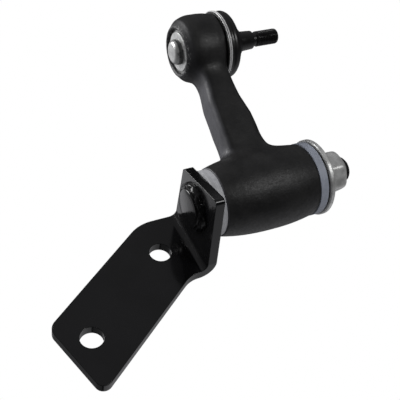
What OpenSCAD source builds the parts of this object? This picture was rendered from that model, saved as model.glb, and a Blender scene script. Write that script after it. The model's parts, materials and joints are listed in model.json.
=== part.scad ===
// Steering idler arm: a bent steel bracket carries a fixed pivot shaft, and a forged arm
// turns on it. The far end of the arm holds a sealed ball joint.
// Origin: centre of the two bolt holes, on the bolted face of the bracket.
// +Y leaves the bolted face, +Z runs along the pivot from the bracket ear to the nut.

/* [Bracket] */
// Thickness of the bracket plate
plate_t = 5.6; // [4.5:0.1:7]
// Distance between the two bolt holes
hole_spacing = 70; // [66:0.5:74]
// Diameter of each bolt hole
hole_d = 13; // [10:0.5:14]
// Lean of the hole line away from the pivot direction, in degrees
hole_lean = 36; // [33:0.5:39]
// Plate edge to the hole line, on the ball joint side
margin_near = 21.8; // [19:0.1:24]
// Plate edge to the hole line, on the other side
margin_far = 23.1; // [21:0.1:25]
// Hole line centre to the slanted end of the plate
end_reach = 50.1; // [48:0.1:56]
// Height of the ear's front face above the hole centre
ear_z = 48.8; // [46:0.1:54]
// Width of the ear and of the bend
ear_w = 45.3; // [43:0.1:48]
// Inside radius of the bend
bend_r = 4.5; // [3:0.5:6]

/* [Pivot] */
// Pivot axis, across the bracket
pivot_x = 25.8; // [24:0.1:27]
// Pivot axis, off the bolted face
pivot_y = 32.4; // [31:0.1:34]
// Diameter of the pivot shaft in its bushes
shaft_d = 23.6; // [22:0.1:24]
// Thread diameter at the nut end
thread_d = 16; // [14:0.5:16]
// Length of the arm's barrel
barrel_l = 60.9; // [58:0.1:64]
// Greatest diameter of the barrel
barrel_d = 48.4; // [47:0.1:50]
// Thickness of the bush flange beside the ear
ear_flange_t = 5.8; // [4:0.1:7]
// Diameter of the bush flange beside the ear
ear_flange_d = 39.4; // [37:0.1:40]
// Thickness of the bush flange beside the nut
nut_flange_t = 5; // [4:0.1:6]
// Diameter of the bush flange beside the nut
nut_flange_d = 44.8; // [43:0.1:46]
// Diameter of the retaining washer
washer_d = 46.8; // [44:0.1:50]
// Thickness of the retaining washer
washer_t = 3.1; // [2:0.1:3.5]
// Width across the flats of the lock nut
nut_af = 24; // [24:0.5:27]
// Height of the lock nut
nut_h = 17.4; // [16:0.1:20]

/* [Arm] */
// Distance from the pivot axis to the ball joint axis
arm_l = 102.5; // [98:0.5:108]
// Direction of the arm from +X towards +Y at rest, in degrees
arm_angle = 19.85; // [15:0.05:25]
// Thickness of the arm's bar
arm_t = 19.4; // [18:0.1:21]

/* [Ball joint] */
// Diameter of the ball
ball_d = 22; // [21:0.1:22.4]
// Outside diameter of the ball housing
housing_d = 43.2; // [42.6:0.1:45]
// Largest diameter of the tapered seat of the stud
taper_d = 14.2; // [13.6:0.1:14.6]
// Thread diameter of the stud
stud_thread_d = 10; // [8:0.5:10.4]
// Thickness of the cover disc
cover_t = 1.6; // [1.2:0.1:1.8]
// Wall of the rubber boot
boot_wall = 1.8; // [1.4:0.1:2]

/* [Fits] */
// Radial clearance of a running fit
running_gap = 0.05; // [0.02:0.01:0.08]
// Clearance between pieces that rest together
seat_gap = 0.02; // [0.01:0.01:0.05]
// Clearance around the soft boot
soft_gap = 0.3; // [0.2:0.05:0.35]
// End play beside the ear
end_play = 0.1; // [0.05:0.05:0.3]

/* [Hidden] */

$fn = 96;
arc_steps = 10;
cut = 1;

// Bracket
hole_r = hole_d / 2;
end_slant = 17.6;
far_x = -0.5;
near_x = far_x + ear_w;
bend_z = ear_z - bend_r;
bend_y = plate_t + bend_r;
bend_out_r = bend_r + plate_t;
ear_top_slope = 0.303;
ear_peak = [4.8, 57.9];
near_curve_r = 25;
far_curve_r = 17;
end_near_r = 6.5;
end_far_r = 5;
ear_corner_r = 2.5;

// Pivot stack, measured along +Z
shaft_r = shaft_d / 2;
thread_r = thread_d / 2;
stub_l = 4.3;
stub_chamfer = 0.6;
bead_foot = 2.8;
bead_h = 3.2;
ear_back = ear_z + plate_t;
ear_flange_z = ear_back + end_play;
barrel_z = ear_flange_z + ear_flange_t;
barrel_top = barrel_z + barrel_l;
nut_flange_z = barrel_top + nut_flange_t;
seal_t = 1.1;
seal_w = 3.2;
seal_inset = 0.5;
washer_z = nut_flange_z + seal_t + end_play;
nut_z = washer_z + washer_t;
thread_clear = 0.1;
tip_l = 4.6;
tip_chamfer = 0.9;
bush_wall = 2.7;
bush_r = shaft_r + running_gap + bush_wall;
barrel_bore_r = bush_r + seat_gap;
sleeve_l = 24;

// Ball joint, measured along +Z from the ear's front face
ball_z = ear_z + 45.5;
ball_r = ball_d / 2;
housing_r = housing_d / 2;
lip_z = ear_z + 27.3;
lip_r = 15.3;
lip_round = 1.5;
cover_z = ear_z + 29.9;
cover_r = 15.2;
face_r = 12.2;
face_h = 1.3;
boss_r = 8;
boss_h = 4.6;
neck_z = ear_z + 53;
neck_top = ear_z + 57;
neck_r = 17.5;
seat_r = 14;
seat_shoulder = ear_z + 52;
seat_split = ear_z + 43;
seat_floor = ear_z + 33.2;
mouth_r = 9.2;
mouth_top_r = 10.8;

// Stud, measured along +Z
stud_neck_r = 6.3;
neck_flare = 1.2;
taper_z = ear_z + 62.3;
taper_top = ear_z + 80.9;
taper_slope = 1 / 16;
undercut_r = 4.1;
stud_thread_r = stud_thread_d / 2;
stud_thread_z = ear_z + 84.3;
stud_end = ear_z + 99.9;
stud_tip = 1.6;
thread_run = 0.8;

// Boot and its rings
bead_z = neck_z + soft_gap;
bead_top = ear_z + 57.6;
bead_r = 21.4;
groove_z = ear_z + 55.1;
wire_r = 0.45;
wire_pitch = wire_r * 1.87;
ring_r = 21.55;
lip_ring_z = ear_z + 66.9;
lip_ring_h = 3.3;
lip_ring_wall = 1.1;
boot_top = ear_z + 70.4;
dome_r = 3.6;
dome_centre = [17.8, ear_z + 59.8];
dome_lean = 58;
dome_foot = -25;
boot_lip_r = 9.4;
boot_lip_taper = 0.6;
lip_root = 1.2;

// Preload spring
spring_small_r = 3.4;
spring_large_r = 6;
spring_wire_r = 0.75;
spring_turns = 2;
spring_steps = 24;
wire_sides = 10;

function unit(v) = v / norm(v);

// Radius of the stud's taper at a height
function taper_r(z) = taper_d / 2 - (z - taper_z) * taper_slope;

// Points of the arc that rounds corner p between its neighbours a and b
function corner_arc(a, p, b, r) =
    let (
        u = unit(a - p),
        w = unit(b - p),
        half = acos(u * w) / 2,
        sweep = 180 - 2 * half,
        centre = p + unit(u + w) * r / sin(half),
        first = p + u * r / tan(half) - centre,
        last = p + w * r / tan(half) - centre
    )
    [for (i = [0:arc_steps])
        centre + r * unit(first * sin(sweep * (1 - i / arc_steps)) + last * sin(sweep * i / arc_steps))];

function flat_point(corner) = [corner[0], corner[1]];

// Outline through corners given as [x, y, radius]
function rounded(corners) =
    let (n = len(corners))
    [for (i = [0:n - 1])
        let (
            before = flat_point(corners[(i + n - 1) % n]),
            here = flat_point(corners[i]),
            after = flat_point(corners[(i + 1) % n])
        )
        each corners[i][2] == 0 ? [here] : corner_arc(before, here, after, corners[i][2])];

// Where two lines meet, each given by a point and a direction
function crossing(p, u, q, w) =
    let (k = ((q[0] - p[0]) * w[1] - (q[1] - p[1]) * w[0]) / (u[0] * w[1] - u[1] * w[0]))
    p + k * u;

// Quarter or part circle in a radial section, from angle a0 to a1
function section_arc(centre, r, a0, a1, steps = arc_steps) =
    [for (i = [0:steps]) let (a = a0 + (a1 - a0) * i / steps) centre + r * [cos(a), sin(a)]];

hole_dir = [sin(hole_lean), cos(hole_lean)];
side_dir = [-cos(hole_lean), sin(hole_lean)];
end_dir = [-cos(end_slant), sin(end_slant)];
end_point = -end_reach * hole_dir;
bend_dir = [0, 1];
near_line = -margin_near * side_dir;
far_line = margin_far * side_dir;

// Plate outline in X and Z, up to the start of the bend
function plate_outline() =
    let (
        near_knee = crossing(near_line, hole_dir, [near_x, 0], bend_dir),
        near_end = crossing(near_line, hole_dir, end_point, end_dir),
        far_end = crossing(far_line, hole_dir, end_point, end_dir),
        far_knee = crossing(far_line, hole_dir, [far_x, 0], bend_dir)
    )
    rounded([
        [near_x, bend_z, 0],
        [near_knee[0], near_knee[1], near_curve_r],
        [near_end[0], near_end[1], end_near_r],
        [far_end[0], far_end[1], end_far_r],
        [far_knee[0], far_knee[1], far_curve_r],
        [far_x, bend_z, 0],
    ]);

// Ear outline in X and Y, from the end of the bend
function ear_outline() =
    rounded([
        [far_x, bend_y, 0],
        [near_x, bend_y, 0],
        [near_x, ear_peak[1] - (near_x - ear_peak[0]) * ear_top_slope, ear_corner_r],
        [ear_peak[0], ear_peak[1], ear_corner_r],
    ]);

module flange_plate() {
    rotate([90, 0, 0])
        mirror([0, 0, 1])
            linear_extrude(plate_t)
                polygon(plate_outline());
}

module bend() {
    translate([far_x, bend_y, bend_z])
        rotate([0, 90, 0])
            linear_extrude(ear_w)
                intersection() {
                    difference() {
                        circle(bend_out_r);
                        circle(bend_r);
                    }
                    translate([-bend_out_r, -bend_out_r])
                        square(bend_out_r);
                }
}

module at_pivot() {
    translate([pivot_x, pivot_y, 0])
        children();
}

module at_ball() {
    translate([pivot_x + arm_l * cos(arm_angle), pivot_y + arm_l * sin(arm_angle), 0])
        children();
}

module ring(r_out, r_in, z, h) {
    translate([0, 0, z])
        difference() {
            cylinder(r = r_out, h = h);
            translate([0, 0, -cut])
                cylinder(r = r_in, h = h + 2 * cut);
        }
}

module mounting_bracket() {
    color("#151517")
        difference() {
            union() {
                flange_plate();
                bend();
                translate([0, 0, ear_z])
                    linear_extrude(plate_t)
                        polygon(ear_outline());
            }
            for (side = [-1, 1])
                translate([side * hole_dir[0], 0, side * hole_dir[1]] * hole_spacing / 2)
                    rotate([-90, 0, 0])
                        translate([0, 0, -cut])
                            cylinder(r = hole_r, h = plate_t + 2 * cut);
            at_pivot()
                translate([0, 0, ear_z - cut])
                    cylinder(r = shaft_r + seat_gap, h = plate_t + 2 * cut);
        }
}

// One turned shaft: welded stub, plain journal, shoulder and threaded end
module pivot_shaft() {
    shaft_end = nut_z + nut_h + tip_l;
    color("#26262a")
        at_pivot()
            rotate_extrude()
                polygon([
                    [0, ear_z - stub_l],
                    [shaft_r - stub_chamfer, ear_z - stub_l],
                    [shaft_r, ear_z - stub_l + stub_chamfer],
                    [shaft_r, washer_z],
                    [thread_r, washer_z],
                    [thread_r, shaft_end - tip_chamfer],
                    [thread_r - tip_chamfer, shaft_end],
                    [0, shaft_end],
                ]);
}

// Fillet weld around the foot of the stub
module shaft_weld_bead() {
    inner = shaft_r + seat_gap;
    fullness = 0.8;
    color("#1b1b1e")
        at_pivot()
            rotate_extrude()
                polygon(concat(
                    [[inner, ear_z - seat_gap]],
                    [[inner + bead_foot, ear_z - seat_gap]],
                    [for (i = [1:arc_steps])
                        let (a = 90 * i / arc_steps)
                        [
                            inner + bead_foot * pow(cos(a), fullness),
                            ear_z - seat_gap - bead_h * pow(sin(a), fullness),
                        ]]
                ));
}

module retaining_washer() {
    round_off = 0.6;
    inner = thread_r + thread_clear;
    r = washer_d / 2;
    color("#b9babb")
        at_pivot()
            rotate_extrude()
                polygon([
                    [inner, washer_z],
                    [r - round_off, washer_z],
                    [r, washer_z + round_off],
                    [r, nut_z - round_off],
                    [r - round_off, nut_z],
                    [inner, nut_z],
                ]);
}

// Hexagon body with a domed collar that holds the locking insert
nut_r = nut_af / 2 / cos(30);
insert_h = 3;
insert_r = 9.3;
insert_drop = 0.8;
nut_top = nut_z + nut_h;
insert_z = nut_top - insert_h - insert_drop;

module lock_nut() {
    dome = 4;
    crown_r = 10.3;
    bevel = 0.9;
    color("#b4b5b4")
        at_pivot()
            difference() {
                intersection() {
                    translate([0, 0, nut_z])
                        cylinder(r = nut_r, h = nut_h, $fn = 6);
                    rotate_extrude()
                        polygon(concat(
                            [[0, nut_z], [nut_r - bevel, nut_z], [nut_r, nut_z + bevel]],
                            [for (i = [0:arc_steps])
                                let (a = 90 * i / arc_steps)
                                [
                                    crown_r + (nut_r - crown_r) * cos(a),
                                    nut_top - dome + dome * sin(a),
                                ]],
                            [[0, nut_top]]
                        ));
                }
                translate([0, 0, nut_z - cut])
                    cylinder(r = thread_r + seat_gap, h = nut_h + 2 * cut);
                translate([0, 0, insert_z])
                    cylinder(r = insert_r, h = nut_h);
            }
}

module lock_nut_insert() {
    color("#3c4a63")
        at_pivot()
            ring(insert_r - seat_gap, thread_r + seat_gap, insert_z, insert_h);
}

// Radial section of the barrel's outside, fullest past its middle
function barrel_outline() =
    let (
        full = barrel_d / 2,
        ear_end = 3.9,
        nut_end = 2.3,
        peak = 0.62,
        steps = 16
    )
    [for (i = [0:steps])
        let (
            k = i / steps,
            drop = k < peak ? ear_end * pow((peak - k) / peak, 2.6) : nut_end * pow((k - peak) / (1 - peak), 2)
        )
        [full - drop, barrel_z + k * barrel_l]];

// Radial section of the ball housing's outside, with the rolled lip at its low end
function housing_outline() =
    concat(
        section_arc([lip_r, lip_z + lip_round], lip_round, 180, 290),
        [
            [housing_r - 3.9, lip_z + 2.1],
            [housing_r - 2.1, lip_z + 3.7],
            [housing_r - 1.2, lip_z + 5.7],
            [housing_r - 0.5, lip_z + 7.9],
            [housing_r - 0.1, lip_z + 10.2],
            [housing_r - 0.1, lip_z + 16.7],
            [housing_r - 0.4, lip_z + 20.7],
            [housing_r - 1, neck_z - 2],
            [housing_r - 1.3, neck_z],
            [neck_r, neck_z],
            [neck_r, neck_top],
            [mouth_top_r, neck_top],
            [mouth_r, seat_shoulder],
            [seat_r, seat_shoulder],
            [seat_r, seat_floor],
            [cover_r, seat_floor],
            [cover_r, cover_z],
            [lip_r - lip_round, cover_z],
        ]
    );

// Stations of the bar: share of the arm length, low side and high side
bar_stations = [
    [0.17, 28.2, 66.2],
    [0.215, 29, 60.2],
    [0.25, 29.6, 57.4],
    [0.31, 30, 56.1],
    [0.47, 31, 55.6],
    [0.59, 31.5, 53.3],
    [0.72, 33.5, 53.2],
    [0.78, 33.2, 53.4],
    [0.815, 32, 53.2],
    [0.84, 30.6, 53],
];
bar_edge_r = 4.5;
bar_edge_steps = 4;

// Rounded section across the arm at one station
function bar_section(station) =
    let (
        side = arm_t / 2 - bar_edge_r,
        low = ear_z + station[1] + bar_edge_r,
        high = ear_z + station[2] - bar_edge_r,
        centres = [[side, high], [-side, high], [-side, low], [side, low]]
    )
    [for (q = [0:3])
        each [for (p = section_arc(centres[q], bar_edge_r, 90 * q, 90 * (q + 1), bar_edge_steps))
            [station[0] * arm_l, p[0], p[1]]]];

module arm_bar() {
    sections = [for (station = bar_stations) bar_section(station)];
    n = len(sections[0]);
    last = len(sections) - 1;
    walls = [for (i = [0:last - 1])
        for (j = [0:n - 1])
            let (
                p = i * n + j,
                q = i * n + (j + 1) % n
            )
            [p, p + n, q + n, q]];
    caps = [
        [for (j = [0:n - 1]) j],
        [for (j = [n - 1:-1:0]) last * n + j],
    ];
    polyhedron([for (section = sections) each section], concat(walls, caps), convexity = 4);
}

// One forging: barrel, bar and ball housing
module forged_arm() {
    color("#1a1a1c") {
        at_pivot()
            rotate_extrude()
                polygon(concat([[barrel_bore_r, barrel_z]], barrel_outline(), [[barrel_bore_r, barrel_top]]));
        at_pivot()
            rotate([0, 0, arm_angle])
                arm_bar();
        at_ball()
            rotate_extrude()
                polygon(housing_outline());
    }
}

// Flanged bushes pressed into both ends of the barrel
module ear_side_bush() {
    color("#c3c6c9")
        at_pivot() {
            ring(ear_flange_d / 2, shaft_r + running_gap, ear_flange_z, ear_flange_t);
            ring(bush_r, shaft_r + running_gap, barrel_z - seat_gap, sleeve_l);
        }
}

module nut_side_bush() {
    color("#8f9aab")
        at_pivot() {
            ring(nut_flange_d / 2, shaft_r + running_gap, barrel_top, nut_flange_t);
            ring(bush_r, shaft_r + running_gap, barrel_top - sleeve_l, sleeve_l + seat_gap);
        }
}

module nut_side_seal() {
    r = nut_flange_d / 2 - seal_inset;
    color("#1c1c1e")
        at_pivot()
            ring(r, r - seal_w, nut_flange_z, seal_t);
}

// Section of a ball seat between two heights, hollowed by the ball
module seat_blank(low, high) {
    at_ball()
        difference() {
            translate([0, 0, low])
                cylinder(r = seat_r - seat_gap, h = high - low);
            translate([0, 0, ball_z])
                sphere(ball_r + running_gap);
        }
}

module lower_ball_seat() {
    color("#d8d4c4")
        seat_blank(seat_floor + seat_gap, seat_split - seat_gap);
}

module upper_ball_seat() {
    color("#d8d4c4")
        difference() {
            seat_blank(seat_split, seat_shoulder - seat_gap);
            at_ball()
                translate([0, 0, seat_split])
                    cylinder(r = mouth_r, h = seat_shoulder - seat_split);
        }
}

// Pressed cover held under the rolled lip: flat face and a domed boss that holds the spring
module cover_disc() {
    edge = cover_r - seat_gap;
    under = cover_z + cover_t;
    face = cover_z - face_h;
    top = face - boss_h;
    round_r = 3.4;
    inner_round = round_r - cover_t;
    crown = 0.4;
    inside_r = boss_r - cover_t;
    color("#b0b1b0")
        at_ball()
            rotate_extrude()
                polygon(concat(
                    [[0, top - crown]],
                    section_arc([boss_r - round_r, top + round_r], round_r, -90, 0),
                    [
                        [boss_r, face],
                        [face_r, face],
                        [face_r, cover_z + seat_gap],
                        [edge, cover_z + seat_gap],
                        [edge, under],
                        [face_r - cover_t, under],
                        [face_r - cover_t, face + cover_t],
                        [inside_r, face + cover_t],
                    ],
                    section_arc([inside_r - inner_round, top + round_r], inner_round, 0, -90),
                    [[0, top + cover_t]]
                ));
}

// Open conical coil between the cover's boss and the lower seat
module preload_spring() {
    low = cover_z - face_h - boss_h + cover_t + spring_wire_r + seat_gap;
    high = seat_floor - spring_wire_r;
    count = round(spring_turns * spring_steps);
    rings = [for (i = [0:count])
        let (turn = 360 * i / spring_steps)
        [for (j = [0:wire_sides - 1])
            let (
                a = 360 * j / wire_sides,
                r = spring_small_r + (spring_large_r - spring_small_r) * i / count + spring_wire_r * cos(a)
            )
            [r * cos(turn), r * sin(turn), low + (high - low) * i / count + spring_wire_r * sin(a)]]];
    walls = [for (i = [0:count - 1])
        for (j = [0:wire_sides - 1])
            let (
                p = i * wire_sides + j,
                q = i * wire_sides + (j + 1) % wire_sides
            )
            [p, q, q + wire_sides, p + wire_sides]];
    caps = [
        [for (j = [wire_sides - 1:-1:0]) j],
        [for (j = [0:wire_sides - 1]) count * wire_sides + j],
    ];
    color("#8c8d90")
        at_ball()
            polyhedron([for (section = rings) each section], concat(walls, caps), convexity = 4);
}

// Rubber boot: grooved bead on the housing's neck, round shoulder, cone and lip around the stud
module dust_boot() {
    lip_in = taper_r(lip_ring_z) + 2 * running_gap + lip_ring_wall + soft_gap;
    inner_bead = neck_r + soft_gap;
    groove_r = ring_r - wire_r - soft_gap;
    groove_half = wire_pitch / 2 + wire_r + soft_gap;
    shoulder = dome_r - boot_wall;
    cone_dir = [-sin(dome_lean), cos(dome_lean)];
    cone_start = dome_centre + dome_r * [cos(dome_lean), sin(dome_lean)];
    cone_run = (cone_start[0] - boot_lip_r) / sin(dome_lean);
    cone_end = cone_start + cone_run * cone_dir;
    inner_end = cone_end - boot_wall * [cos(dome_lean), sin(dome_lean)] - lip_root * cone_dir;
    color("#141416")
        at_ball()
            rotate_extrude()
                polygon(concat(
                    [
                        [inner_bead, bead_z],
                        [bead_r, bead_z],
                        [bead_r, groove_z - groove_half],
                        [groove_r, groove_z - groove_half],
                        [groove_r, groove_z + groove_half],
                        [bead_r - 0.2, groove_z + groove_half],
                        [bead_r - 0.4, bead_top],
                    ],
                    section_arc(dome_centre, dome_r, dome_foot, dome_lean),
                    [
                        cone_end,
                        [boot_lip_r - boot_lip_taper, boot_top],
                        [lip_in, boot_top],
                        [lip_in, lip_ring_z],
                        inner_end,
                    ],
                    section_arc(dome_centre, shoulder, dome_lean, dome_foot),
                    [[inner_bead, bead_top]]
                ));
}

// Two turns of clamping wire lying side by side
module boot_wire_ring() {
    color("#c4c5c6")
        at_ball()
            for (side = [-1, 1])
                translate([0, 0, groove_z + side * wire_pitch / 2])
                    rotate_extrude()
                        translate([ring_r, 0])
                            circle(wire_r, $fn = 24);
}

// Stiff ring in the boot's lip, in which the stud turns
module boot_lip_ring() {
    top = lip_ring_z + lip_ring_h;
    gap = 2 * running_gap - seat_gap;
    outer = taper_r(lip_ring_z) + 2 * running_gap + lip_ring_wall;
    color("#202022")
        at_ball()
            rotate_extrude()
                polygon([
                    [taper_r(lip_ring_z) + gap, lip_ring_z],
                    [outer, lip_ring_z],
                    [outer, top],
                    [taper_r(top) + gap, top],
                ]);
}

module ball_stud() {
    color("#1d1d20")
        at_ball() {
            translate([0, 0, ball_z])
                sphere(ball_r);
            rotate_extrude()
                polygon([
                    [0, ball_z],
                    [stud_neck_r, ball_z],
                    [stud_neck_r, taper_z - neck_flare],
                    [taper_r(taper_z), taper_z],
                    [taper_r(taper_top), taper_top],
                    [undercut_r, taper_top + thread_run],
                    [undercut_r, stud_thread_z - thread_run],
                    [stud_thread_r, stud_thread_z],
                    [stud_thread_r, stud_end - stud_tip],
                    [stud_thread_r - stud_tip * 0.3, stud_end - stud_tip * 0.4],
                    [stud_thread_r - stud_tip, stud_end],
                    [0, stud_end],
                ]);
        }
}

mounting_bracket();
pivot_shaft();
shaft_weld_bead();
retaining_washer();
lock_nut();
lock_nut_insert();
forged_arm();
ear_side_bush();
nut_side_bush();
nut_side_seal();
lower_ball_seat();
upper_ball_seat();
preload_spring();
cover_disc();
dust_boot();
boot_wire_ring();
boot_lip_ring();
ball_stud();
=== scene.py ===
import json
import math

import bmesh
import bpy
import numpy as np
from mathutils import Matrix, Vector


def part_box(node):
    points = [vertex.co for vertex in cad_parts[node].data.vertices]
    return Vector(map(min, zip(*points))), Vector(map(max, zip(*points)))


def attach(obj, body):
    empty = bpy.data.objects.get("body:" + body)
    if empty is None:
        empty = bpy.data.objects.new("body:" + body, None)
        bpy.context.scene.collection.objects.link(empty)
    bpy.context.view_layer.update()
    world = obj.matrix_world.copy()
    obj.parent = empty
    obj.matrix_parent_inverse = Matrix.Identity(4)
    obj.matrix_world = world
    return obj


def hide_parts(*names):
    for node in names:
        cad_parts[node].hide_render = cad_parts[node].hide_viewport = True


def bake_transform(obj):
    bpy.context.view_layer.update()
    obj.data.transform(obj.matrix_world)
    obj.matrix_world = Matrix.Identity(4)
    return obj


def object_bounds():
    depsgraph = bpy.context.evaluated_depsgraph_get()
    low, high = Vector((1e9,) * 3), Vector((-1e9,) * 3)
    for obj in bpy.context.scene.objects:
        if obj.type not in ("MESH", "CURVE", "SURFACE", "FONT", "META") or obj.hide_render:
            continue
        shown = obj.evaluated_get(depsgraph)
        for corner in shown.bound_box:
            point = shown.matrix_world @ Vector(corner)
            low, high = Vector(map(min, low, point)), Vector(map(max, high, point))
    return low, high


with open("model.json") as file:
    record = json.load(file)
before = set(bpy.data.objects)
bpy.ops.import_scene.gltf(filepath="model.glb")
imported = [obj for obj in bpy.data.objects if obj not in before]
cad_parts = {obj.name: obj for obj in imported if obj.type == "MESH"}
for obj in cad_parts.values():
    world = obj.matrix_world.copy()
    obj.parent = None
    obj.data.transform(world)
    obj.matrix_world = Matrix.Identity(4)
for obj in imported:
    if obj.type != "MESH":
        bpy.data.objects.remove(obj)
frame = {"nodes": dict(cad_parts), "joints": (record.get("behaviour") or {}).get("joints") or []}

MM = 0.001
cad_low, cad_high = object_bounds()
nodes = frame["nodes"]

# Axes of the pivot and of the ball joint, and the places of some solids, taken from the frame
joint = {j["name"]: j for j in frame["joints"]}
PIVOT = Vector(joint["arm_pivot"]["pos_m"])
BALL = Vector(joint["ball_tilt"]["pos_m"])
SHAFT_LOW, SHAFT_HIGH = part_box("pivot_shaft")
WASHER_LOW, WASHER_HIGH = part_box("retaining_washer")
STUD_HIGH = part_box("ball_stud")[1]
BRACKET_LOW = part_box("mounting_bracket")[0]

# Heights are in mm from the ear's outer face; the shaft's stub stands out of it, below zero
STUB_MM = 4.3
LIP_MM = 27.3
EAR_Z = SHAFT_LOW.z + STUB_MM * MM
ARM_DIR = Vector((BALL.x - PIVOT.x, BALL.y - PIVOT.y, 0)).normalized()
ARM_L = (Vector((BALL.x, BALL.y)) - Vector((PIVOT.x, PIVOT.y))).length

# Camera at the photo's angle, in the row frame
EYE = Vector((-0.22236, 0.34426, -0.11109))
FORWARD = Vector((0.58115, -0.71877, 0.38162)).normalized()
UP = Vector((0.69568, 0.68211, 0.22529)).normalized()
RIGHT = FORWARD.cross(UP).normalized()
LENS_MM = 67.47
SENSOR_MM = 36.0
CLIP_START = 0.01


def studio(right, up, forward):
    """A direction given along the camera's own axes, as a row frame vector."""
    return (RIGHT * right + UP * up + FORWARD * forward).normalized()


# Node helpers
# Nearly all of a noise texture's values lie in this range
SPREAD = (0.3, 0.7)


def new_material(name):
    mat = bpy.data.materials.new(name)
    mat.use_nodes = True
    tree = mat.node_tree
    shader = tree.nodes["Principled BSDF"]
    return mat, tree, shader


def feed(tree, target, value):
    """Joins a socket to a socket, or sets a plain value."""
    if isinstance(value, bpy.types.NodeSocket):
        tree.links.new(value, target)
    else:
        target.default_value = value


def add(tree, kind, inputs=None, **fields):
    made = tree.nodes.new(kind)
    for key, value in fields.items():
        setattr(made, key, value)
    for key, value in (inputs or {}).items():
        feed(tree, made.inputs[key], value)
    return made


def calc(tree, operation, a, b=None):
    inputs = {0: a} if b is None else {0: a, 1: b}
    return add(tree, "ShaderNodeMath", inputs, operation=operation).outputs[0]


def vector_calc(tree, operation, a, b=None, output=0):
    inputs = {0: a} if b is None else {0: a, 1: b}
    return add(tree, "ShaderNodeVectorMath", inputs, operation=operation).outputs[output]


def split(tree, vector):
    return add(tree, "ShaderNodeSeparateXYZ", {"Vector": vector}).outputs


def object_coords(tree, scale=(1, 1, 1)):
    coords = add(tree, "ShaderNodeTexCoord").outputs["Object"]
    return add(tree, "ShaderNodeMapping", {"Vector": coords, "Scale": scale}).outputs["Vector"]


def noise(tree, coords, scale, detail=4.0, rough=0.55):
    inputs = {"Vector": coords, "Scale": scale, "Detail": detail, "Roughness": rough}
    return add(tree, "ShaderNodeTexNoise", inputs).outputs["Fac"]


def remap(tree, value, source, target):
    """A value between the two ends of source, moved to between the two ends of target."""
    made = add(tree, "ShaderNodeMapRange", {
        "Value": value, "From Min": source[0], "From Max": source[1],
        "To Min": target[0], "To Max": target[1],
    })
    return made.outputs["Result"]


def mix_color(tree, factor, a, b):
    made = add(tree, "ShaderNodeMix", {0: factor, 6: a, 7: b}, data_type="RGBA")
    return made.outputs[2]


def mix_shader(tree, factor, a, b):
    return add(tree, "ShaderNodeMixShader", {0: factor, 1: a, 2: b}).outputs[0]


def grey(value, tint=(1, 1, 1)):
    return (value * tint[0], value * tint[1], value * tint[2], 1)


def bump(tree, height, distance, strength, normal=None):
    inputs = {"Height": height, "Distance": distance, "Strength": strength}
    if normal is not None:
        inputs["Normal"] = normal
    return add(tree, "ShaderNodeBump", inputs).outputs["Normal"]


def soft_edges(tree, radius):
    return add(tree, "ShaderNodeBevel", {"Radius": radius}, samples=6).outputs["Normal"]


def connect(tree, shader, **sockets):
    names = {
        "color": "Base Color", "rough": "Roughness", "metal": "Metallic", "normal": "Normal",
        "spec": "Specular IOR Level",
    }
    for key, value in sockets.items():
        feed(tree, shader.inputs[names[key]], value)


def from_axis(tree, axis):
    """Distance from an axis along Z, and height, as two sockets."""
    coords = add(tree, "ShaderNodeTexCoord").outputs["Object"]
    parts = split(tree, vector_calc(tree, "SUBTRACT", coords, (axis.x, axis.y, 0)))
    planar = add(tree, "ShaderNodeCombineXYZ", {"X": parts["X"], "Y": parts["Y"]}).outputs[0]
    return vector_calc(tree, "LENGTH", planar, output="Value"), parts["Z"]


def turned(tree, axis, pitch_mm=0.35):
    """Coordinates that only change with the distance from an axis along Z and with height."""
    radius, height = from_axis(tree, axis)
    both = add(tree, "ShaderNodeCombineXYZ", {"X": radius, "Y": height}).outputs[0]
    scale = 1 / (pitch_mm * MM)
    return vector_calc(tree, "MULTIPLY", both, (scale, scale, scale))


# Materials
def gloss_paint(name, dull_from=None):
    """Smooth black paint; above dull_from, a height in the row frame, it is bare and dull."""
    mat, tree, shader = new_material(name)
    coords = object_coords(tree)
    cloud = noise(tree, coords, scale=45)
    peel = noise(tree, coords, scale=420, detail=2)
    patches = remap(tree, cloud, (0.35, 0.65), (0, 1))
    dark, light = grey(0.004, tint=(1, 1, 1.08)), grey(0.007, tint=(1, 1, 1.1))
    rough = remap(tree, cloud, SPREAD, (0.1, 0.18))
    if dull_from is not None:
        dull = remap(tree, split(tree, coords)["Z"], (dull_from, dull_from + MM), (0, 0.6))
        rough = calc(tree, "MAXIMUM", rough, dull)
    edges = soft_edges(tree, radius=0.6 * MM)
    normal = bump(tree, peel, distance=0.05 * MM, strength=0.2, normal=edges)
    color = mix_color(tree, patches, dark, light)
    connect(tree, shader, color=color, rough=rough, normal=normal, spec=0.5)
    return mat


def weld_paint():
    mat, tree, shader = new_material("weld_paint")
    lumps = noise(tree, object_coords(tree), scale=420, detail=3)
    color = mix_color(tree, lumps, grey(0.004), grey(0.01, tint=(1, 1, 1.1)))
    rough = remap(tree, lumps, SPREAD, (0.16, 0.3))
    normal = bump(tree, lumps, distance=0.22 * MM, strength=0.6)
    connect(tree, shader, color=color, rough=rough, normal=normal, spec=0.4)
    return mat


HOUSING_START = BALL.x - 30 * MM


def painted_sheen_faces(tree, patches, place):
    """Painted pale sheen, as if light fell on the faces that look along -Z: most on the bar, less on the
    housing.
    """
    housing_full = BALL.x - 18 * MM
    facing = split(tree, add(tree, "ShaderNodeTexCoord").outputs["Normal"])["Z"]
    sheen_share = remap(tree, facing, (-0.3, -0.9), (0, 1))
    sheen_share = calc(tree, "MULTIPLY", sheen_share, remap(tree, patches, (0.3, 0.6), (0.6, 1)))
    on_bar = remap(tree, place["X"], (HOUSING_START, housing_full), (1, 0.3))
    return calc(tree, "MULTIPLY", sheen_share, on_bar)


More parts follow.
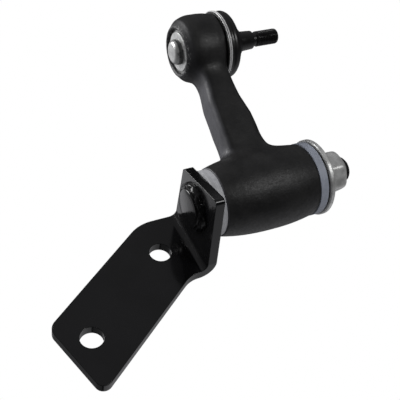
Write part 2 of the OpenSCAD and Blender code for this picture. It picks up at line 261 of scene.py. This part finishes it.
def worn_lip(tree, pits, place):
    """How bare the housing's rolled lip is, in flakes with an uneven border."""
    lip_z = EAR_Z + LIP_MM * MM
    worn_above, worn_full, border = 3.3 * MM, 2.5 * MM, 2.4 * MM
    lip_end = BALL.x - 28 * MM
    level = calc(tree, "ADD", place["Z"], calc(tree, "MULTIPLY", pits, border))
    worn = remap(tree, level, (lip_z + worn_above, lip_z + worn_full), (0, 1))
    on_housing = remap(tree, place["X"], (HOUSING_START, lip_end), (0, 1))
    flakes = noise(tree, object_coords(tree, scale=(1, 1, 2.2)), scale=620, detail=4, rough=0.75)
    flakes = remap(tree, flakes, (0.54, 0.66), (0.03, 1))
    return calc(tree, "MULTIPLY", calc(tree, "MULTIPLY", worn, on_housing), flakes)


def forged_satin():
    """Painted forging: mottled and pitted, with a painted pale sheen on the faces that look along -Z,
    worn at the lip.
    """
    mat, tree, shader = new_material("forged_satin")
    coords = object_coords(tree)
    place = split(tree, coords)
    patches = noise(tree, coords, scale=55, detail=5, rough=0.6)
    grain = noise(tree, coords, scale=750, detail=4, rough=0.7)
    pits = noise(tree, coords, scale=240, detail=3)
    dents = noise(tree, coords, scale=90, detail=2)
    mottle = remap(tree, patches, (0.38, 0.68), (0, 1))
    dark, light = grey(0.008, tint=(1, 1, 1.04)), grey(0.026, tint=(1.02, 1, 1))
    # The first tone is the painted pale sheen on faces that look along -Z; the second is bare metal at
    # the worn lip.
    sheen_tone, bare = grey(0.12, tint=(0.98, 0.98, 1.1)), grey(0.34)
    color = mix_color(tree, mottle, dark, light)
    # Painted pale sheen over the faces that look along -Z, uneven in patches
    color = mix_color(tree, painted_sheen_faces(tree, patches, place), color, sheen_tone)
    color = mix_color(tree, worn_lip(tree, pits, place), color, bare)
    rough = remap(tree, grain, SPREAD, (0.36, 0.58))
    fine = bump(tree, calc(tree, "ADD", grain, pits), distance=0.2 * MM, strength=0.6)
    normal = bump(tree, dents, distance=0.5 * MM, strength=0.5, normal=fine)
    connect(tree, shader, color=color, rough=rough, normal=normal, spec=0.42)
    return mat


def zinc(name, axis, tone, metal, rough, edge_mm=0.5, shade_ring_r=None, dull_from=None):
    """Plated steel turned about an axis, with a dark ring of painted crease shade at the radius given,
    duller above dull_from.
    """
    mat, tree, shader = new_material(name)
    tint = (1, 1.005, 0.99)
    darker = 0.66
    cloud = noise(tree, object_coords(tree), scale=160, detail=4)
    mottle = remap(tree, cloud, (0.36, 0.64), (0, 1))
    color = mix_color(tree, mottle, grey(tone * darker, tint), grey(tone, tint))
    # A thin dark ring of painted shade in the crease at the foot of the cover's boss
    if shade_ring_r:
        away = calc(tree, "ABSOLUTE", calc(tree, "SUBTRACT", from_axis(tree, axis)[0], shade_ring_r))
        shade_ring = remap(tree, away, (0.1 * MM, 0.3 * MM), (0.8, 0))
        color = mix_color(tree, shade_ring, color, grey(0.03))
    rough = remap(tree, cloud, SPREAD, rough)
    if dull_from is not None:
        duller = remap(tree, from_axis(tree, axis)[1], (dull_from, dull_from + MM), (0, 0.17))
        rough = calc(tree, "ADD", rough, duller)
    marks = noise(tree, turned(tree, axis), scale=1.0, detail=2)
    edges = soft_edges(tree, radius=edge_mm * MM)
    normal = bump(tree, marks, distance=0.02 * MM, strength=0.6, normal=edges)
    connect(tree, shader, color=color, metal=metal, rough=rough, normal=normal)
    return mat


def moulded(name, light, dark, tint, rough):
    """Moulded resin or nylon with faint marks of turning about the pivot."""
    mat, tree, shader = new_material(name)
    rough_swing = 0.08
    cloud = noise(tree, object_coords(tree), scale=260, detail=5, rough=0.7)
    rings = noise(tree, turned(tree, PIVOT, pitch_mm=0.5), scale=1.0, detail=3)
    blend = remap(tree, calc(tree, "MULTIPLY", cloud, rings), (0.12, 0.4), (0, 1))
    color = mix_color(tree, blend, grey(dark, tint), grey(light, tint))
    rough = remap(tree, cloud, SPREAD, (rough - rough_swing, rough + rough_swing))
    edges = soft_edges(tree, radius=0.4 * MM)
    normal = bump(tree, rings, distance=0.03 * MM, strength=0.6, normal=edges)
    connect(tree, shader, color=color, rough=rough, normal=normal)
    return mat


def rubber(name, tone, rough, grain_mm=0.05, spec=0.5):
    mat, tree, shader = new_material(name)
    darker, paler, rough_swing = 0.7, 1.3, 0.07
    coords = object_coords(tree)
    cloud = noise(tree, coords, scale=90)
    grain = noise(tree, coords, scale=1500, detail=3)
    color = mix_color(tree, cloud, grey(tone * darker), grey(tone * paler))
    rough = remap(tree, cloud, SPREAD, (rough - rough_swing, rough + rough_swing))
    normal = bump(tree, grain, distance=grain_mm * MM, strength=0.5)
    connect(tree, shader, color=color, rough=rough, normal=normal, spec=spec)
    return mat


def wire_steel(name):
    mat, tree, shader = new_material(name)
    cloud = noise(tree, object_coords(tree), scale=600, detail=3)
    color = mix_color(tree, cloud, grey(0.85), grey(0.98))
    rough = remap(tree, cloud, SPREAD, (0.25, 0.4))
    connect(tree, shader, color=color, metal=0.15, rough=rough)
    return mat


NUT_FLANGE_TOP = WASHER_HIGH.z + 3.6 * MM
# Radius of the painted shade ring in the crease at the foot of the cover's boss
COVER_SHADE_RING = 7.9 * MM

gloss = gloss_paint("gloss_paint")
shaft_black = gloss_paint("shaft_black", dull_from=WASHER_HIGH.z)
weld = weld_paint()
forged = forged_satin()
zinc_washer = zinc("zinc_washer", PIVOT, tone=0.92, metal=0.5, rough=(0.3, 0.45))
zinc_nut = zinc("zinc_nut", PIVOT, tone=0.93, metal=0.58, rough=(0.17, 0.27), edge_mm=0.6,
                dull_from=NUT_FLANGE_TOP)
zinc_cover = zinc("zinc_cover", BALL, tone=0.8, metal=0.55, rough=(0.24, 0.38), shade_ring_r=COVER_SHADE_RING)
pale_nylon = moulded("pale_nylon", light=0.8, dark=0.5, tint=(0.98, 0.99, 1.03), rough=0.5)
blue_nylon = moulded("blue_nylon", light=0.53, dark=0.39, tint=(0.9, 0.97, 1.14), rough=0.5)
resin = moulded("resin", light=0.6, dark=0.45, tint=(1, 0.97, 0.86), rough=0.5)
black_rubber = rubber("black_rubber", tone=0.008, rough=0.36)
seal_black = rubber("seal_black", tone=0.008, rough=0.5)
stud_black = rubber("stud_black", tone=0.011, rough=0.22, grain_mm=0.03, spec=0.42)
ring_wire = wire_steel("ring_wire")
spring_wire = wire_steel("spring_steel")

MATERIAL_OF = {
    "mounting_bracket": gloss,
    "pivot_shaft": shaft_black,
    "shaft_weld_bead": weld,
    "retaining_washer": zinc_washer,
    "lock_nut": zinc_nut,
    "lock_nut_insert": blue_nylon,
    "forged_arm": forged,
    "ear_side_bush": pale_nylon,
    "nut_side_bush": blue_nylon,
    "nut_side_seal": seal_black,
    "lower_ball_seat": resin,
    "upper_ball_seat": resin,
    "preload_spring": spring_wire,
    "cover_disc": zinc_cover,
    "dust_boot": black_rubber,
    "boot_wire_ring": ring_wire,
    "boot_lip_ring": seal_black,
    "ball_stud": stud_black,
}


def assign(name, mat):
    data = nodes[name].data
    data.materials.clear()
    data.materials.append(mat)
    for face in data.polygons:
        face.material_index = 0


for node_name, node_material in MATERIAL_OF.items():
    assign(node_name, node_material)


# Mesh code
# Points closer than this in metres are made one, in new meshes and in copies of the frame's
MERGE_NEW, MERGE_COPY = 1e-7, 2e-6


def arc(centre, r, a0, a1, steps):
    """Points of an arc in a radial section, angles in degrees."""
    found = []
    for i in range(steps + 1):
        a = math.radians(a0 + (a1 - a0) * i / steps)
        found.append((centre[0] + r * math.cos(a), centre[1] + r * math.sin(a)))
    return found


def soften(points, radius, steps=4):
    """The closed outline with each corner turned into a small curve."""
    tiny, least_bend, most_share = 1e-6, 0.12, 0.45
    found = []
    count = len(points)
    for i in range(count):
        before, here, after = (Vector(points[(i + k) % count]) for k in (-1, 0, 1))
        back, ahead = before - here, after - here
        if here.x < tiny or back.length < tiny or ahead.length < tiny:
            found.append(tuple(here))
            continue
        bend = math.pi - back.angle(ahead)
        if bend < least_bend:
            found.append(tuple(here))
            continue
        reach = min(radius * math.tan(bend / 2), most_share * back.length, most_share * ahead.length)
        start, end = here + back.normalized() * reach, here + ahead.normalized() * reach
        for k in range(steps + 1):
            t = k / steps
            found.append(tuple(start * (1 - t) ** 2 + here * 2 * t * (1 - t) + end * t ** 2))
    return found


def dense(p, q, step):
    """Points along a straight run, about a step apart."""
    count = max(1, round((Vector(q) - Vector(p)).length / step))
    return [tuple(Vector(p).lerp(Vector(q), i / count)) for i in range(count + 1)]


def around(axis, r, z, angle):
    """A point at radius r and height z, both in mm, at an angle about a line along Z."""
    return (axis.x + r * MM * math.cos(angle), axis.y + r * MM * math.sin(angle), EAR_Z + z * MM)


def link(name, data):
    obj = bpy.data.objects.new(name, data)
    bpy.context.collection.objects.link(obj)
    return obj


def build(name, verts, faces, smooth_angle=40):
    """A smooth shaded object, where only edges sharper than smooth_angle stay hard."""
    mesh = bpy.data.meshes.new(name)
    mesh.from_pydata([tuple(v) for v in verts], [], faces)
    work = bmesh.new()
    work.from_mesh(mesh)
    bmesh.ops.remove_doubles(work, verts=work.verts, dist=MERGE_NEW)
    bmesh.ops.recalc_face_normals(work, faces=work.faces)
    limit = math.radians(smooth_angle)
    for face in work.faces:
        face.smooth = True
    for edge in work.edges:
        if len(edge.link_faces) == 2 and edge.calc_face_angle(0) > limit:
            edge.smooth = False
    work.to_mesh(mesh)
    work.free()
    return link(name, mesh)


def lathe(name, outline, axis, segments, change=None):
    """Turns a closed outline of (radius, height) in mm about a line along Z.

    change(r, z, angle) gives both anew at each angle.
    """
    verts, faces = [], []
    count = len(outline)
    for j in range(segments):
        angle = 2 * math.pi * j / segments
        for r, z in outline:
            if change and r > 0:
                r, z = change(r, z, angle)
            verts.append(around(axis, r, z, angle))
    for j in range(segments):
        k = (j + 1) % segments
        for i in range(count):
            n = (i + 1) % count
            if outline[i][0] == 0 and outline[n][0] == 0:
                continue
            faces.append((j * count + i, k * count + i, k * count + n, j * count + n))
    return build(name, verts, faces)


def thread(low, high, crest, pitch, depth):
    """A change for lathe that cuts a helical V thread between two heights."""
    slack, flank = 0.05, 0.42

    def cut(r, z, angle):
        if low < z < high and r > crest - slack:
            run = min(1.0, (z - low) / pitch, (high - z) / (0.5 * pitch))
            phase = (z / pitch - angle / (2 * math.pi)) % 1.0
            groove = max(0.0, 1 - abs(phase - 0.5) / flank)
            r -= depth * groove * run
        return r, z
    return cut


def finish_piece(obj, mat, replaced, body):
    obj.data.materials.append(mat)
    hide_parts(replaced)
    if body:
        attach(obj, body)


# Pieces
def stud_piece():
    """Ball, neck, taper, shoulder, undercut and threaded end, turned as one outline."""
    ball_r, neck_r, thread_r = 11.0, 6.3, 5.0
    ball_start = -84
    neck_top = 61.1
    taper = [(7.1, 62.3), (6.6, 70.3)]
    shoulder, shoulder_round = (5.54, 80.5), 0.4
    undercut_r, undercut_low, undercut_high = 4.1, 81.6, 83.4
    thread_low, lead_in, lead_out = 84.2, 0.15, 1.2
    pitch, depth, step = 1.25, 0.62, 0.14
    tip_round = 1.7
    centre = (BALL.z - EAR_Z) / MM
    end = (STUD_HIGH.z - EAR_Z) / MM
    neck_angle = math.degrees(math.acos(neck_r / ball_r))
    outline = [(0, centre - ball_r)]
    outline += arc((0, centre), ball_r, ball_start, neck_angle, steps=24)
    outline += [(neck_r, neck_top)] + taper
    outline += arc(shoulder, shoulder_round, 4, 90, steps=3)
    outline += [(undercut_r, undercut_low), (undercut_r, undercut_high), (thread_r - 0.1, thread_low)]
    outline += dense((thread_r, thread_low + lead_in), (thread_r, end - tip_round), step)
    outline += arc((thread_r - tip_round, end - tip_round), tip_round, 12, 84, steps=5)
    outline += [(thread_r - tip_round - 0.2, end), (0, end)]
    cut = thread(thread_low, end - lead_out, thread_r, pitch, depth)
    obj = lathe("ball_stud_turned", outline, BALL, 96, cut)
    finish_piece(obj, stud_black, "ball_stud", "stud")


def shaft_piece():
    """Stub, journal, washer shoulder and threaded end with a centre mark, turned as one outline."""
    r, thread_r = 11.8, 8.0
    stub_round, tip = 0.9, 1.4
    # The stub's face is a little uneven: radius, and how far it stands out
    stub_face = ((0, 0), (4, 0.12), (8, -0.05))
    thread_gap, lead_out = 8, 0.9
    pitch, depth, step = 1.5, 0.75, 0.16
    # The centre mark in the threaded end: radius, and depth
    mark = ((2.2, 0), (1.4, 0.9), (0, 1.3))
    shoulder = (WASHER_LOW.z - EAR_Z) / MM
    end = (SHAFT_HIGH.z - EAR_Z) / MM
    outline = [(at, -STUB_MM - out) for at, out in stub_face]
    outline += arc((r - stub_round, -STUB_MM + stub_round), stub_round, -88, 0, steps=4)
    outline += [(r, shoulder), (thread_r, shoulder)]
    outline += dense((thread_r, shoulder + thread_gap), (thread_r, end - tip), step)
    outline += [(thread_r - tip / 2, end - tip / 2), (thread_r - tip, end)]
    outline += [(at, end - deep) for at, deep in mark]
    cut = thread(shoulder + thread_gap, end - lead_out, thread_r, pitch, depth)
    obj = lathe("pivot_shaft_turned", outline, PIVOT, 96, cut)
    finish_piece(obj, shaft_black, "pivot_shaft", "bracket")


def ripple(angle, seed):
    """Smooth uneven waves around a weld, from -1 to 1."""
    waves = ((3, 0.9), (7, 0.6), (13, 0.35), (29, 0.25))
    total = sum(size for k, size in waves)
    return sum(size * math.sin(k * angle + seed * k * 1.7) for k, size in waves) / total


def weld_piece():
    """A fillet bead around the stub, uneven along its length."""
    inner, foot, high = 11.82, 3.0, 3.3
    roundness = 0.85
    scallops, sway = 9, 0.9
    lump_size, lumps_across = 0.05, 5
    turns, across = 360, 16
    # Level, slow waves, scallops, and the waves' seed
    foot_wave = (0.97, 0.09, 0.06, 1.0)
    rise_wave = (0.94, 0.08, 0.05, 2.6)
    verts, faces = [], []
    for j in range(turns):
        angle = 2 * math.pi * j / turns
        scallop = abs(math.sin(angle * scallops + sway * math.sin(angle * 2)))
        width, rise = (level + slow * ripple(angle, seed) + sharp * scallop
                       for level, slow, sharp, seed in (foot_wave, rise_wave))
        for i in range(across + 1):
            t = math.pi / 2 * i / across
            lump = 1 + lump_size * math.sin(lumps_across * t + scallops * angle)
            r = inner + foot * width * lump * math.cos(t) ** roundness
            z = -high * rise * lump * math.sin(t) ** roundness
            verts.append(around(PIVOT, r, z, angle))
        verts.append(around(PIVOT, inner, 0, angle))
    ring = across + 2
    for j in range(turns):
        k = (j + 1) % turns
        for i in range(ring):
            n = (i + 1) % ring
            faces.append((j * ring + i, k * ring + i, k * ring + n, j * ring + n))
    obj = build("weld_bead_rippled", verts, faces, smooth_angle=60)
    finish_piece(obj, weld, "shaft_weld_bead", "bracket")


def boot_piece():
    """Grooved bead on the housing's neck, round shoulder, cone, and a lip around the stud."""
    wall, tip_wall, corner_round = 1.8, 1.2, 0.5
    inner_r, bead_r, groove_r, bead_top_r = 17.8, 21.3, 20.8, 21.0
    bead_low, groove_low, groove_high, bead_top, inner_top = 53.3, 54.1, 56.1, 57.5, 57.6
    flare, groove_foot, groove_head = 0.1, 0.2, 0.15
    centre, dome, dome_start, dome_end = (17.8, 59.8), 3.6, -25, 58
    lip_r, lip_top_r, lip_inner_r, lip_low, lip_top = 9.4, 8.8, 8.42, 66.9, 70.4
    cone_shares = (0.33, 0.66, 1)
    lean = math.radians(dome_end)
    out = Vector((math.cos(lean), math.sin(lean)))
    run = Vector((-math.sin(lean), math.cos(lean)))
    start = Vector(centre) + dome * out
    tip = start + run * (start.x - lip_r) / math.sin(lean)
    inside = tip - out * wall - run * tip_wall
    outline = [(inner_r, bead_low), (bead_r, bead_low), (bead_r + flare, groove_low)]
    outline += [(groove_r, groove_low + groove_foot), (groove_r, groove_high - groove_head)]
    outline += [(bead_r - flare, groove_high), (bead_top_r, bead_top)]
    outline += arc(centre, dome, dome_start, dome_end, steps=14)
    outline += [tuple(start.lerp(tip, share)) for share in cone_shares]
    outline += [(lip_top_r, lip_top), (lip_inner_r, lip_top), (lip_inner_r, lip_low), tuple(inside)]
    outline += arc(centre, dome - wall, dome_end, dome_start, steps=10)
    outline += [(inner_r, inner_top)]
    obj = lathe("dust_boot_moulded", soften(outline, corner_round), BALL, 144)
    finish_piece(obj, black_rubber, "dust_boot", None)
    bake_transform(obj)


def wire_piece():
    """Two turns of one wire, laid side by side in the boot's groove."""
    r, wire, pitch, groove_middle = 21.55, 0.4, 1.15, 55.1
    start_angle, crossing = math.radians(250), 6
    steps, sides = 288, 12
    verts, faces = [], []
    for j in range(steps + 1):
        share = j / steps
        lay = math.tanh(crossing * (share - 0.5) * 2) / math.tanh(crossing)
        middle = groove_middle + lay * pitch / 2
        angle = 4 * math.pi * share + start_angle
        for i in range(sides):
            a = 2 * math.pi * i / sides
            verts.append(around(BALL, r + wire * math.cos(a), middle + wire * math.sin(a), angle))
    for j in range(steps):
        for i in range(sides):
            n = (i + 1) % sides
            faces.append((j * sides + i, j * sides + n, (j + 1) * sides + n, (j + 1) * sides + i))
    faces.append(tuple(range(sides - 1, -1, -1)))
    faces.append(tuple(steps * sides + i for i in range(sides)))
    obj = build("boot_wire_turns", verts, faces, smooth_angle=60)
    finish_piece(obj, ring_wire, "boot_wire_ring", "arm")


def skinned(node, name, step_mm):
    """A new object with an even skin of small squares over the form of a node, its points and edges."""
    mesh = nodes[node].data.copy()
    work = bmesh.new()
    work.from_mesh(mesh)
    bmesh.ops.remove_doubles(work, verts=work.verts, dist=MERGE_COPY)
    work.to_mesh(mesh)
    work.free()
    obj = link(name, mesh)
    voxel = obj.modifiers.new("skin", "REMESH")
    voxel.mode = "VOXEL"
    voxel.voxel_size = step_mm * MM
    voxel.use_smooth_shade = True
    graph = bpy.context.evaluated_depsgraph_get()
    skin = bpy.data.meshes.new_from_object(obj.evaluated_get(graph))
    obj.modifiers.clear()
    obj.data = skin
    co = np.zeros(len(skin.vertices) * 3)
    skin.vertices.foreach_get("co", co)
    pairs = np.zeros(len(skin.edges) * 2, np.int32)
    skin.edges.foreach_get("vertices", pairs)
    return obj, co.reshape(-1, 3), pairs.reshape(-1, 2)


def pull_of(co, pairs):
    """How far each point lies from the middle of its neighbours."""
    count = len(co)
    total = np.empty_like(co)
    for k in range(3):
        total[:, k] = (np.bincount(pairs[:, 0], co[pairs[:, 1], k], count)
                       + np.bincount(pairs[:, 1], co[pairs[:, 0], k], count))
    return total / np.bincount(pairs.ravel(), minlength=count)[:, None] - co


def normals_of(co, quads):
    """Unit normals at the points of a skin of four sided faces."""
    tiny = 1e-18
    spread = np.cross(co[quads[:, 2]] - co[quads[:, 0]], co[quads[:, 3]] - co[quads[:, 1]])
    normals = np.zeros_like(co)
    for k in range(3):
        for corner in range(4):
            normals[:, k] += np.bincount(quads[:, corner], spread[:, k], len(co))
    return normals / (np.linalg.norm(normals, axis=1)[:, None] + tiny)


def ramp(value, low, high):
    """0 below low and 1 above high, with a smooth run between."""
    t = np.clip((value - low) / (high - low), 0, 1)
    return t * t * (3 - 2 * t)


def band(value, rise, fall):
    """1 between two ramps, each given by its two ends, and 0 outside them."""
    return ramp(value, *rise) * (1 - ramp(value, *fall))


def set_points(obj, co):
    obj.data.vertices.foreach_set("co", co.ravel())
    obj.data.update()
    obj.data.materials.clear()


def nut_piece():
    """The nut with its corners rounded as if forged and tumbled; its flange stays nearly as it is."""
    skin_mm, turns, full_share = 0.42, 70, 0.5
    flange_mm, run_mm, flange_share = 4.2, 2.5, 0.07
    obj, co, pairs = skinned("lock_nut", "lock_nut_tumbled", skin_mm)
    rise = (co[:, 2] - WASHER_HIGH.z) / MM
    share = full_share * np.clip((rise - flange_mm) / run_mm, flange_share, 1)
    for turn in range(turns):
        co = co + share[:, None] * pull_of(co, pairs)
    set_points(obj, co)
    finish_piece(obj, zinc_nut, "lock_nut", "bracket")


# Where the forging gets a soft run, each range in mm from none to all or back: its distance
# beside the bar's middle, out from the end's own axis, along the bar from that axis, and in height
BARREL_RUN = {
    "beside": (13, 19),
    "out": (18, 21),
    "along": ((8, 16), (32, 42)),
    "height": ((20, 26), (66, 71)),
}
HOUSING_RUN = {
    "beside": (15, 20),
    "out": (16.8, 18.8),
    "along": ((4, 11), (32, 46)),
    "height": ((29, 35), (53, 56)),
}


def run_weight(run, along, across, height):
    """How much each point gives way to a soft run, from 0 to 1."""
    weight = (1 - ramp(np.abs(across), *run["beside"])) * ramp(np.hypot(along, across), *run["out"])
    return weight * band(along, *run["along"]) * band(height, *run["height"])


def forging_piece():
    """The forging as one skin, with soft runs where the bar meets the barrel and the housing."""
    skin_mm, turns, renew_every = 0.64, 480, 8
    settle_turns, settle_shares = 4, (0.5, -0.52)
    fill_share, shave_share = 0.5, 0.06
    obj, co, pairs = skinned("forged_arm", "arm_forging", skin_mm)
    rel = (co - np.array((PIVOT.x, PIVOT.y, EAR_Z))) / MM
    along = rel[:, 0] * ARM_DIR.x + rel[:, 1] * ARM_DIR.y
    across = -rel[:, 0] * ARM_DIR.y + rel[:, 1] * ARM_DIR.x
    height = rel[:, 2]
    weight = np.maximum(run_weight(BARREL_RUN, along, across, height),
                        run_weight(HOUSING_RUN, ARM_L / MM - along, across, height))
    quads = np.zeros(len(obj.data.loops), np.int32)
    obj.data.loops.foreach_get("vertex_index", quads)
    quads = quads.reshape(-1, 4)
    for turn in range(turns):
        if turn % renew_every == 0:
            normals = normals_of(co, quads)
        pull = pull_of(co, pairs)
        if turn < settle_turns:
            share = np.full(len(co), settle_shares[turn % 2])
        else:
            filling = (pull * normals).sum(1) > 0
            share = weight * np.where(filling, fill_share, shave_share)
        co = co + share[:, None] * pull
    set_points(obj, co)
    finish_piece(obj, forged, "forged_arm", "arm")


stud_piece()
shaft_piece()
weld_piece()
boot_piece()
wire_piece()
nut_piece()
forging_piece()


# Studio
# Each glow of the world: its direction, where it starts and is full as a cosine, and its strength
WORLD_LOW = 0.03
WORLD_GLOWS = (
    ((-0.4, -0.85, 0.3), (0.5, 1.0), 0.5),
    ((0.62, 0.7, 0.35), (0.45, 0.95), 0.2),
)
GLOW_COLOR = (0.97, 0.97, 1.0, 1)

# The floor as mirrored rays see it: bright behind the object and to one side, dim elsewhere;
# each range in metres in the row frame, and the strengths at its two ends
FLOOR_HALF = 4.0
FLOOR_DROP = 0.6
FLOOR_BEHIND_Y, FLOOR_BEHIND = (0.25, -0.95), (0.02, 0.97)
FLOOR_FAR_Y, FLOOR_FAR = (-1.7, -2.3), (1, 0.1)
FLOOR_NEAR_X, FLOOR_NEAR = (1.02, 1.18), (0.14, 1)
FLOOR_SIDE_X, FLOOR_SIDE = (0.15, 0.75), (0, 0.26)

# The floor as the camera sees it: this share of an even pale tone, over its lit and shaded self
FLOOR_PALE = (0.93, 0.93, 0.94, 1)
FLOOR_PALE_STRENGTH, FLOOR_PALE_SHARE = 0.95, 0.72

# Each lamp: its direction along the camera's axes, distance and size in metres, and power
LAMPS = {
    "right_box": ((0.66, 0.33, -0.68), 0.8, (0.22, 0.28), 1.7),
    "left_box": ((-0.82, 0.5, 0.15), 0.7, (0.36, 0.3), 2.9),
    "front_lamp": ((-0.1, 0.15, -0.98), 0.9, (0.06, 0.06), 0.25),
}


def background():
    """White behind the object for the camera; dim for other rays, with two glows."""
    world = bpy.data.worlds.new("studio")
    bpy.context.scene.world = world
    world.use_nodes = True
    tree = world.node_tree
    shell = tree.nodes["Background"]
    direction = add(tree, "ShaderNodeTexCoord").outputs["Generated"]
    level = WORLD_LOW
    for toward, run, high in WORLD_GLOWS:
        unit = Vector(toward).normalized()
        facing = vector_calc(tree, "DOT_PRODUCT", direction, unit, output="Value")
        level = calc(tree, "ADD", level, remap(tree, facing, run, (0, high)))
    feed(tree, shell.inputs["Strength"], level)
    feed(tree, shell.inputs["Color"], GLOW_COLOR)
    white = add(tree, "ShaderNodeBackground", {"Color": (1, 1, 1, 1), "Strength": 1.0}).outputs[0]
    seen = add(tree, "ShaderNodeLightPath").outputs["Is Camera Ray"]
    mixed = mix_shader(tree, seen, shell.outputs[0], white)
    tree.links.new(mixed, tree.nodes["World Output"].inputs["Surface"])


def area_light(name, direction, distance, size, power, target):
    data = bpy.data.lights.new(name, "AREA")
    data.shape = "RECTANGLE"
    data.size, data.size_y = size
    data.energy = power
    lamp = link(name, data)
    place = target + direction * distance
    lamp.location = place
    lamp.rotation_euler = (target - place).to_track_quat("-Z", "Y").to_euler()


def emission(tree, color, strength):
    return add(tree, "ShaderNodeEmission", {"Color": color, "Strength": strength}).outputs[0]


def floor_material():
    mat, tree, shader = new_material("floor_pale")
    coords = object_coords(tree)
    cloud = noise(tree, coords, scale=6, detail=3)
    connect(tree, shader, color=mix_color(tree, cloud, grey(0.8), grey(0.84)), rough=0.8)
    where = split(tree, coords)
    behind = remap(tree, where["Y"], FLOOR_BEHIND_Y, FLOOR_BEHIND)
    behind = calc(tree, "MULTIPLY", behind, remap(tree, where["Y"], FLOOR_FAR_Y, FLOOR_FAR))
    behind = calc(tree, "MULTIPLY", behind, remap(tree, where["X"], FLOOR_NEAR_X, FLOOR_NEAR))
    aside = remap(tree, where["X"], FLOOR_SIDE_X, FLOOR_SIDE)
    glow = emission(tree, GLOW_COLOR, calc(tree, "MAXIMUM", behind, aside))
    path = add(tree, "ShaderNodeLightPath").outputs
    mirrored = calc(tree, "MAXIMUM", path["Is Glossy Ray"], path["Is Transmission Ray"])
    mixed = mix_shader(tree, mirrored, shader.outputs[0], glow)
    pale = emission(tree, FLOOR_PALE, FLOOR_PALE_STRENGTH)
    share = calc(tree, "MULTIPLY", path["Is Camera Ray"], FLOOR_PALE_SHARE)
    shown = mix_shader(tree, share, mixed, pale)
    tree.links.new(shown, tree.nodes["Material Output"].inputs["Surface"])
    return mat


def floor():
    """Pale floor, white in mirrored rays towards the backdrop and darker towards the camera."""
    z = BRACKET_LOW.z - FLOOR_DROP
    corners = [(x * FLOOR_HALF, y * FLOOR_HALF, z) for x, y in ((-1, -1), (1, -1), (1, 1), (-1, 1))]
    mesh = bpy.data.meshes.new("floor")
    mesh.from_pydata(corners, [], [(0, 1, 2, 3)])
    obj = link("floor", mesh)
    mesh.materials.append(floor_material())


def camera():
    data = bpy.data.cameras.new("camera")
    data.lens = LENS_MM
    data.sensor_width = SENSOR_MM
    data.clip_start = CLIP_START
    obj = link("camera", data)
    turn = Matrix((RIGHT, UP, -FORWARD)).transposed()
    obj.matrix_world = Matrix.Translation(EYE) @ turn.to_4x4()
    bpy.context.scene.camera = obj


background()
floor()
camera()
middle = (cad_low + cad_high) / 2
for lamp_name, (toward, distance, size, power) in LAMPS.items():
    area_light(lamp_name, studio(*toward), distance, size, power, middle)

bpy.context.scene.view_settings.view_transform = "Standard"
